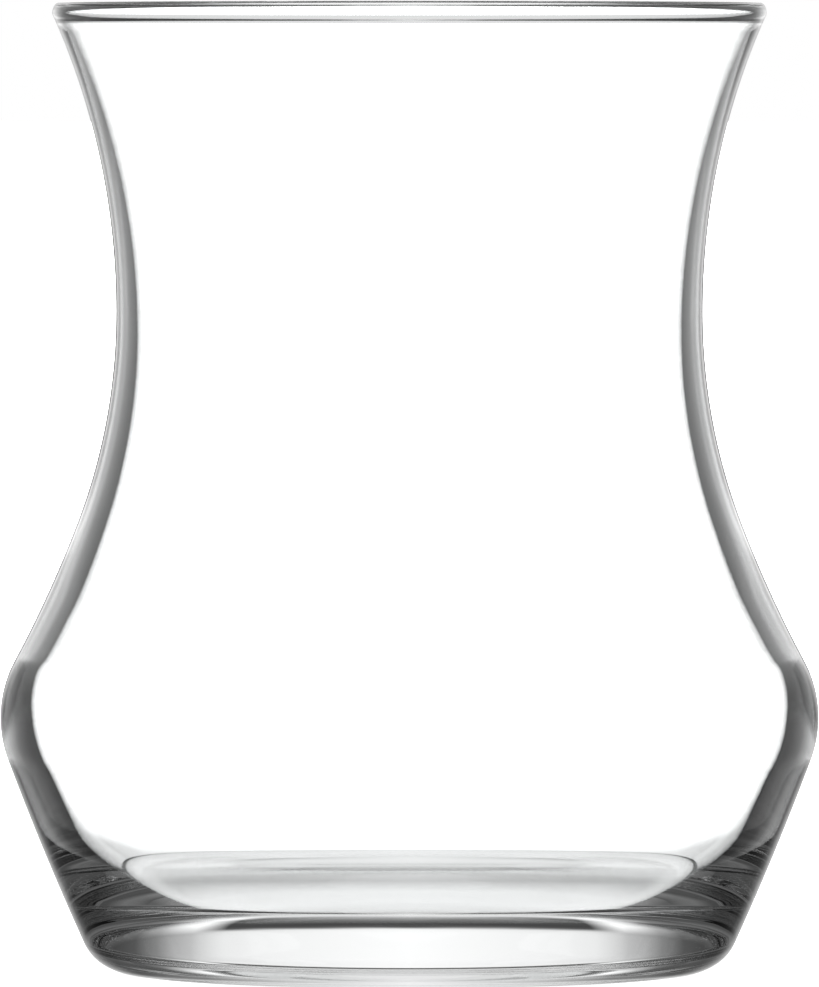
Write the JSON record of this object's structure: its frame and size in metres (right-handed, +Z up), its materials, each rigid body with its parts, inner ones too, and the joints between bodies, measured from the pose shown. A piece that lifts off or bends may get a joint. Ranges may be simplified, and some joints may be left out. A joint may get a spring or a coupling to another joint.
{
  "type": "turkish tea glass",
  "caption": "Empty clear tea glass with a flared mouth, a narrow waist, a round belly and a tapered foot with a thick rounded heel.",
  "frame": {"origin": "centre of the foot, on the surface the glass stands on", "axes": "+Z up along the glass's axis; X and Y lie across it and are alike"},
  "size_m": [0.0692, 0.0692, 0.082],
  "materials": {
    "glass": "clear, smooth and glossy"
  },
  "bodies": {
    "root": {"glass": "glass"}
  },
  "joints": []
}
